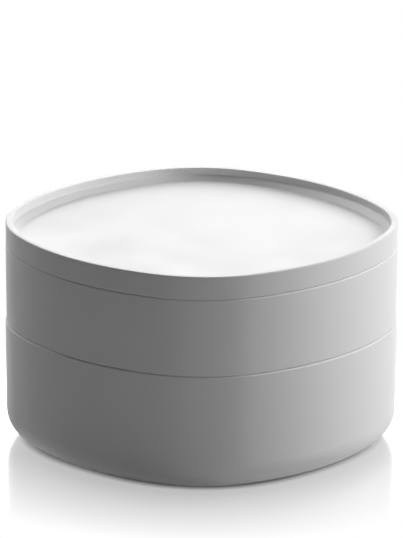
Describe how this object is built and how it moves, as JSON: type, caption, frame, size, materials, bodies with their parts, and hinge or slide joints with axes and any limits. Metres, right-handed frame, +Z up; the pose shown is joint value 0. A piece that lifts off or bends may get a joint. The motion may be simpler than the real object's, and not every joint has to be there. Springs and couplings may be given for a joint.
{
  "type": "stacking bathroom organizer",
  "caption": "Low rounded-square bathroom container with an open base, a divided tray that nests in its rim and a recessed lid that nests in the tray.",
  "frame": {"origin": "centre of the flat bottom of the base container, on the surface it stands on", "axes": "+Z up through the closed stack; Y along the long divider of the tray; +X toward the half that the short divider splits"},
  "size_m": [0.2, 0.2, 0.1205],
  "materials": {
    "base_body": "satin, light grey-white",
    "tray_body": "satin, light grey-white",
    "lid_body": "satin, light grey-white"
  },
  "bodies": {
    "base": {"base_container": "base_body"},
    "tray": {"divided_tray": "tray_body"},
    "cover": {"lid": "lid_body"}
  },
  "joints": [
    {"name": "tray_lift", "type": "slide", "parent": "base", "child": "tray", "axis": [0, 0, 1], "range_m": [0, 0.0412]},
    {"name": "lid_lift", "type": "slide", "parent": "tray", "child": "cover", "axis": [0, 0, 1], "range_m": [0, 0.0514]}
  ]
}
